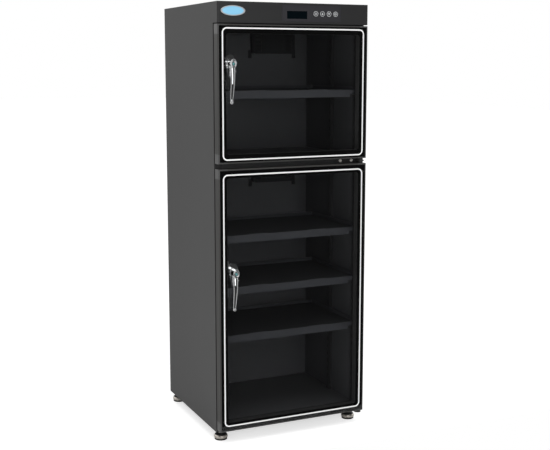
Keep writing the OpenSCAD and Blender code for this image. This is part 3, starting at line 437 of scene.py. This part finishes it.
def soften(obj, width, segments=3):
    """Rounds the sharp edges of a solid."""
    edge = obj.modifiers.new("edge", "BEVEL")
    edge.width = width
    edge.segments = segments
    edge.limit_method = "ANGLE"
    edge.angle_limit = math.radians(40)
    apply_modifiers(obj)
    return obj


def settle(obj, mat, body, angle=35):
    """Shades a finished piece, gives it its finish and puts it on its body."""
    select_only(obj)
    bpy.ops.object.shade_smooth_by_angle(angle=math.radians(angle))
    even = obj.modifiers.new("even", "WEIGHTED_NORMAL")
    even.keep_sharp = True
    bpy.ops.object.modifier_apply(modifier=even.name)
    obj.data.materials.clear()
    obj.data.materials.append(mat)
    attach(obj, body)


# The blade's sections from the head to its end: the height over the spindle, the distance in
# front of the door, half the width and half the thickness.
blade_sections = (
    (0.002, 0.0180, 0.0088, 0.0060),
    (-0.010, 0.0198, 0.0084, 0.0052),
    (-0.022, 0.0216, 0.0076, 0.0044),
    (-0.034, 0.0230, 0.0069, 0.0038),
    (-0.044, 0.0234, 0.0063, 0.0035),
    (-0.056, 0.0222, 0.0059, 0.0034),
    (-0.072, 0.0192, 0.0054, 0.0033),
    (-0.088, 0.0162, 0.0050, 0.0031),
    (-0.099, 0.0142, 0.0042, 0.0029),
    (-0.104, 0.0136, 0.0040, 0.0034),
)
head_rise, lock_bore, casting_voxel = 0.0010, 0.00466, 0.00045


def cast_blade(x, z):
    """The lever's blade, extruded from section to section."""
    high, out, wide, thick = blade_sections[0]
    start = (x, door_face - out, z + high)
    bpy.ops.mesh.primitive_circle_add(vertices=40, radius=1, fill_type="NGON", location=start)
    blade = bpy.context.object
    bpy.ops.object.mode_set(mode="EDIT")
    bpy.ops.mesh.select_all(action="SELECT")
    bpy.ops.transform.resize(value=(wide, thick, 1), center_override=start)
    for lower, further, wider, thicker in blade_sections[1:]:
        move = {"value": (0, out - further, lower - high)}
        bpy.ops.mesh.extrude_region_move(TRANSFORM_OT_translate=move)
        bpy.ops.transform.resize(value=(wider / wide, thicker / thick, 1),
                                 center_override=(x, door_face - further, z + lower))
        high, out, wide, thick = lower, further, wider, thicker
    bpy.ops.mesh.select_all(action="SELECT")
    bpy.ops.mesh.normals_make_consistent(inside=False)
    bpy.ops.object.mode_set(mode="OBJECT")
    return blade


def cast_bump(x, out, z, radius, segments, rings, scale=(1, 1, 1)):
    """A rounded lump on the lever, at a distance in front of the door."""
    bpy.ops.mesh.primitive_uv_sphere_add(segments=segments, ring_count=rings, radius=radius,
                                         location=(x, door_face - out, z))
    bpy.context.object.scale = scale
    return bpy.context.object


for door, x, z in spindles:
    blade = cast_blade(x, z)
    head = rod(x, z + head_rise, 0.0092, near=0.0056, far=0.0296, vertices=64, oval=1.36)
    neck = rod(x, z, 0.0076, near=0.0030, far=0.0200, vertices=64)
    bpy.ops.mesh.primitive_torus_add(major_radius=0.0069, minor_radius=0.0024,
                                     major_segments=72, minor_segments=20,
                                     location=(x, door_face - 0.0294, z + head_rise),
                                     rotation=facing_front)
    rim = bpy.context.object
    rim.scale = (1, 1.40, 1)
    ball = cast_bump(x, 0.0136, z - 0.1076, radius=0.0052, segments=32, rings=20)
    shoulder = cast_bump(x + 0.0052, 0.0220, z - 0.0205, radius=0.0042, segments=24, rings=16,
                         scale=(1.35, 0.95, 0.62))
    lever = join(door + "_cast_lever", [blade, head, neck, rim, ball, shoulder])
    cast = lever.modifiers.new("cast", "REMESH")
    cast.voxel_size = casting_voxel
    polish = lever.modifiers.new("polish", "SMOOTH")
    polish.factor = 0.5
    polish.iterations = 8
    cut(lever, rod(x, z, lock_bore, near=0.0180, far=0.0350, vertices=64))
    settle(lever, chrome, door + "_lever", angle=50)
    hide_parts(door + "_lever")

# Handle plates. A chromed teardrop on each pane, with a boss round the lever's neck. Its barrel
# goes through the glass and is held by a washer and a hexagon nut behind it.
for door, x, z in spindles:
    plate = join("plate", [
        rod(x, z + 0.012, 0.0145, near=-0.0004, far=0.0030, vertices=64),
        rod(x, z - 0.032, 0.0055, near=-0.0004, far=0.0022),
    ])
    bpy.ops.object.mode_set(mode="EDIT")
    bpy.ops.mesh.select_all(action="SELECT")
    bpy.ops.mesh.convex_hull()
    bpy.ops.object.mode_set(mode="OBJECT")
    plate = join(door + "_lever_plate", [
        soften(plate, 0.0027, 8),
        soften(rod(x, z, 0.0090, near=0.0020, far=0.0050), 0.0008),
        soften(rod(x, z, 0.0105, near=-0.0094, far=-0.0046, vertices=6), 0.0006),
        rod(x, z, 0.0066, near=-0.0104, far=0.0022, vertices=64),
        rod(x, z, 0.0082, near=-0.0048, far=-0.0044, vertices=64),
    ])
    settle(plate, chrome, door + "_door")
    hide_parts(door + "_handle_plate")

# Lock plugs. A dark nickel cylinder sunk in each lever's head, and in it the small turquoise
# face with the key slot.
steel = scratched("lock_steel", (0.06, 0.06, 0.062), roughness=0.3, spread=0.2)
turquoise = scratched("lock_face", (0.30, 0.78, 0.80), roughness=0.25, spread=0.2, metallic=0.6)
face_front = 0.0302
for door, x, z in spindles:
    barrel = soften(rod(x, z, 0.0045, near=0.0184, far=0.0276, vertices=64), 0.0004)
    settle(barrel, steel, door + "_key")
    barrel.name = door + "_lock_barrel"
    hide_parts(door + "_key_plug")
    face = soften(rod(x, z, 0.0026, near=0.0270, far=face_front, oval=1.3), 0.0005)
    bpy.ops.mesh.primitive_cube_add(size=1, location=(x, door_face - face_front, z))
    key_slot = bpy.context.object
    key_slot.scale = (0.0007, 0.0040, 0.0044)
    cut(face, key_slot)
    settle(face, turquoise, door + "_key")
    face.name = door + "_lock_face"

# Spindles, shelf clips, strike plates and the power supply's case. Turned or pressed steel with
# a bright zinc plating, screwed or hooked in place.
zinc = scratched("zinc_plate", (0.42, 0.41, 0.39), roughness=0.36, spread=0.25, run=(1, 0.3, 0.3))
coat(zinc, "upper_spindle", "lower_spindle", "shelf_clips", "keepers", "power_supply")

# Hinges. Thick steel plates with pins, plated black and screwed to the case above, between and
# below the doors.
black_zinc = scratched("black_zinc", (0.06, 0.06, 0.06), roughness=0.4, spread=0.25,
                       run=(1, 1, 0.3), metallic=0.8)
coat(black_zinc, "top_hinge", "middle_hinge", "bottom_hinge")

# Screws. Pan heads, nickel-plated on the hinges and the rear cover. Those that hold the covers
# of the drying units, just in front of the inner back, are blackened.
cover_screw_depth, cover_screw_reach = 0.190, 0.020
nickel = scratched("nickel_screw", (0.82, 0.80, 0.75), roughness=0.42, spread=0.2, metallic=0.4)
tree = nickel.node_tree
on_cover = reckon(tree, "COMPARE", split_place(tree, "Object")["Y"], cover_screw_depth,
                  cover_screw_reach)
second_tone(nickel, on_cover, (0.02, 0.02, 0.02))
coat(nickel, "screws")

# Pane borders. Black ceramic ink on the inner face of each pane, out to its edge. It hides the
# frame, the seal and the stiles of the case. Its inner corners are rounded.
black_ink = pebbled("black_ink", (0.004, 0.004, 0.004), roughness=0.4, spread=0.1, grain=2500,
                    depth=0.01, Specular_IOR_Level=0)
edge_gap, border_band, border_corner = 0.0004, 0.0215, 0.008
ink_near, ink_far = 0.00012, 0.00006


def frame_sheet(name, low, high, band, corner):
    """A thin upright sheet between two corners, with a rounded opening a band in from its edge."""
    middle = [(a + b) / 2 for a, b in zip(low, high)]
    wide, thick, tall = [b - a for a, b in zip(low, high)]
    bpy.ops.mesh.primitive_cube_add(size=1, location=middle)
    whole = bpy.context.object
    whole.name = name
    whole.scale = (wide, thick, tall)
    bpy.ops.mesh.primitive_cube_add(size=1, location=middle)
    opening = bpy.context.object
    opening.scale = (wide - 2 * band, 8 * corner, tall - 2 * band)
    apply_modifiers(opening)
    soften(opening, corner, 8)
    cut(whole, opening)
    return whole


for door in ("upper", "lower"):
    low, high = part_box(door + "_door_glass")
    border = frame_sheet(door + "_pane_border",
                         (low[0] + edge_gap, high[1] - ink_near, low[2] + edge_gap),
                         (high[0] - edge_gap, high[1] - ink_far, high[2] - edge_gap),
                         border_band, border_corner)
    settle(border, black_ink, door + "_door", angle=20)

# Controls. A printed film glued to the header, a dark lens over the display, and four round
# moulded buttons that stand through the film. A thin darker line runs round the film's edge.
film = pebbled("control_film", (0.030, 0.029, 0.033), roughness=0.4, spread=0.05, grain=2200,
               depth=0.02, Specular_IOR_Level=0.3)
coat(film, "control_overlay")
lens = pebbled("display_lens", (0.0015, 0.0035, 0.005), roughness=0.1, spread=0.05, grain=60,
               depth=0.0, Specular_IOR_Level=0.15)
coat(lens, "display_window")
cap = pebbled("button_cap", (0.075, 0.075, 0.080), roughness=0.4, spread=0.08, grain=1500,
              depth=0.05)
coat(cap, "button_power", "button_up", "button_down", "button_lamp")
edge_ink = pebbled("edge_ink", (0.020, 0.019, 0.024), roughness=0.4, spread=0.1, grain=2500,
                   depth=0.01)
line_gap, line_proud, line_sunk = 0.0006, 0.00008, 0.00002
line_width, line_corner = 0.0018, 0.003
low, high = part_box("control_overlay")
edge_line = frame_sheet("overlay_edge_line",
                        (low[0] + line_gap, low[1] - line_proud, low[2] + line_gap),
                        (high[0] - line_gap, low[1] + line_sunk, high[2] - line_gap),
                        line_width, line_corner)
settle(edge_line, edge_ink, "cabinet", angle=20)

# Button signs. Pale ink: a ring on each cap's raised rim, and on the sunk field in it a generic
# sign for power, up, down and lamp. They move with their buttons.
sign_ink = pebbled("sign_ink", (0.60, 0.61, 0.62), roughness=0.45, spread=0.05, grain=2500,
                   depth=0.01)
flange, rim_width, field_depth, ink_thickness = 0.0015, 0.0014, 0.0005, 0.00018


def sign_ring(x, front, z, radius, line):
    """A flat printed ring on a button's face."""
    bpy.ops.mesh.primitive_torus_add(major_radius=radius, minor_radius=line, major_segments=64,
                                     minor_segments=8, location=(x, front, z),
                                     rotation=facing_front)
    bpy.context.object.scale = (1, 1, 0.12)
    return bpy.context.object


def sign_bar(x, front, z, wide, high):
    """A flat printed bar on a button's face."""
    bpy.ops.mesh.primitive_cube_add(size=1, location=(x, front, z))
    bpy.context.object.scale = (wide, ink_thickness, high)
    return bpy.context.object


def sign_arrow(x, front, z, size, turn):
    """A flat printed triangle on a button's face, which points up or down."""
    bpy.ops.mesh.primitive_cylinder_add(vertices=3, radius=size, depth=ink_thickness,
                                        location=(x, front, z), rotation=(math.pi / 2, turn, 0))
    return bpy.context.object


for body in ("button_power", "button_up", "button_down", "button_lamp"):
    low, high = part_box(body)
    x, front, z = (low[0] + high[0]) / 2, low[1], (low[2] + high[2]) / 2
    cap_radius = (high[0] - low[0]) / 2 - flange
    field = front + field_depth
    parts = [sign_ring(x, front, z, radius=cap_radius - rim_width / 2, line=0.00050)]
    if body == "button_power":
        parts.append(sign_ring(x, field, z - 0.0003, radius=0.0023, line=0.00045))
        parts.append(sign_bar(x, field, z + 0.0021, wide=0.0009, high=0.0028))
    elif body == "button_up":
        parts.append(sign_arrow(x, field, z - 0.0004, size=0.0034, turn=0))
    elif body == "button_down":
        parts.append(sign_arrow(x, field, z + 0.0004, size=0.0034, turn=math.pi))
    else:
        parts.append(sign_ring(x, field, z, radius=0.0032, line=0.00040))
        parts.append(sign_bar(x, field, z, wide=0.0040, high=0.0010))
    settle(join(body + "_sign", parts), sign_ink, body, angle=20)

# Badge. A bare oval of pale blue enamel, slightly domed, in a thin nickel rim. It is stuck to
# the header at the left.
enamel = pebbled("badge_enamel", (0.25, 0.58, 0.82), roughness=0.25, spread=0.04, grain=300,
                 depth=0.01)
rim_nickel = scratched("rim_nickel", (0.46, 0.48, 0.50), roughness=0.35, spread=0.1, metallic=0.3)
low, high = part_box("badge")
x, front, z = (low[0] + high[0]) / 2, low[1], (low[2] + high[2]) / 2


def badge_oval(inset, half_width, half_height, depth):
    """An oval disc whose middle lies at a distance behind the badge's face."""
    bpy.ops.mesh.primitive_cylinder_add(vertices=128, radius=half_width, depth=depth,
                                        location=(x, front + inset, z), rotation=facing_front)
    bpy.context.object.scale = (1, half_height / half_width, 1)
    return bpy.context.object


rim = badge_oval(inset=0.0007, half_width=0.0370, half_height=0.0143, depth=0.0014)
soften(rim, 0.0005)
cut(rim, badge_oval(inset=0, half_width=0.0358, half_height=0.0131, depth=0.0010))
rim.name = "badge_rim"
settle(rim, rim_nickel, "cabinet")
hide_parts("badge")
bpy.ops.mesh.primitive_uv_sphere_add(segments=96, ring_count=24, radius=1,
                                     location=(x, front + 0.0008, z), rotation=facing_front)
dome = bpy.context.object
dome.scale = (0.0356, 0.0129, 0.0007)
apply_modifiers(dome)
dome.name = "badge_enamel"
settle(dome, enamel, "cabinet", angle=60)

# Circuit board. Glass fibre with a green solder mask. It stands behind the header, where the
# case hides it.
board = pebbled("solder_mask", (0.01, 0.09, 0.03), roughness=0.3, spread=0.2, grain=500, depth=0.05)
coat(board, "control_board")

# Levelling feet. A rubber pad under a nickel-plated cup, a black cap on the cup, and a hexagon
# with the threaded stud that is screwed into the floor pan. The cap's black is painted shade: it
# stands for the shadow that the case casts on the top of each foot.
pad_rubber = pebbled("pad_rubber", (0.012, 0.012, 0.012), roughness=0.65, spread=0.2, grain=700,
                     depth=0.1)
foot_nickel = scratched("foot_nickel", (0.60, 0.56, 0.51), roughness=0.3, spread=0.2,
                        run=(1, 1, 0.1), metallic=0.9)
foot_across, foot_front, foot_rear = 0.217, -0.1575, 0.2225
# Each turned part: the heights of its two ends, the radius at each, and its edges' rounding.
foot_turnings = (
    ("pad", 0.0, 0.0036, 0.0190, 0.0190, 0.0006, pad_rubber),
    ("cup", 0.0032, 0.0160, 0.0205, 0.0205, 0.0052, foot_nickel),
    # The cap is black as painted shade, for the case's shadow on the top of the foot.
    ("cap", 0.0155, 0.0197, 0.0186, 0.0120, 0.0006, moulding),
)


def turned(name, x, y, low, high, bottom, top, edge, vertices=72):
    """A round or six-sided part of a foot between two heights, with a radius at each."""
    bpy.ops.mesh.primitive_cone_add(vertices=vertices, radius1=bottom, radius2=top,
                                    depth=high - low, location=(x, y, (low + high) / 2))
    part = soften(bpy.context.object, edge, 5)
    part.name = name
    return part


for side, x in (("left", -foot_across), ("right", foot_across)):
    for end, y in (("front", foot_front), ("rear", foot_rear)):
        body = "foot_" + end + "_" + side
        for name, low, high, bottom, top, edge, mat in foot_turnings:
            part = turned(body + "_" + name, x, y, low, high, bottom, top, edge)
            settle(part, mat, body)
            if name == "pad":
                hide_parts(body)
        bolt = join(body + "_bolt", [
            turned("nut", x, y, 0.0190, 0.0250, 0.0090, 0.0090, edge=0.0006, vertices=6),
            turned("stud", x, y, 0.0240, 0.0440, 0.0050, 0.0050, edge=0.0005, vertices=32),
        ])
        settle(bolt, zinc, body)
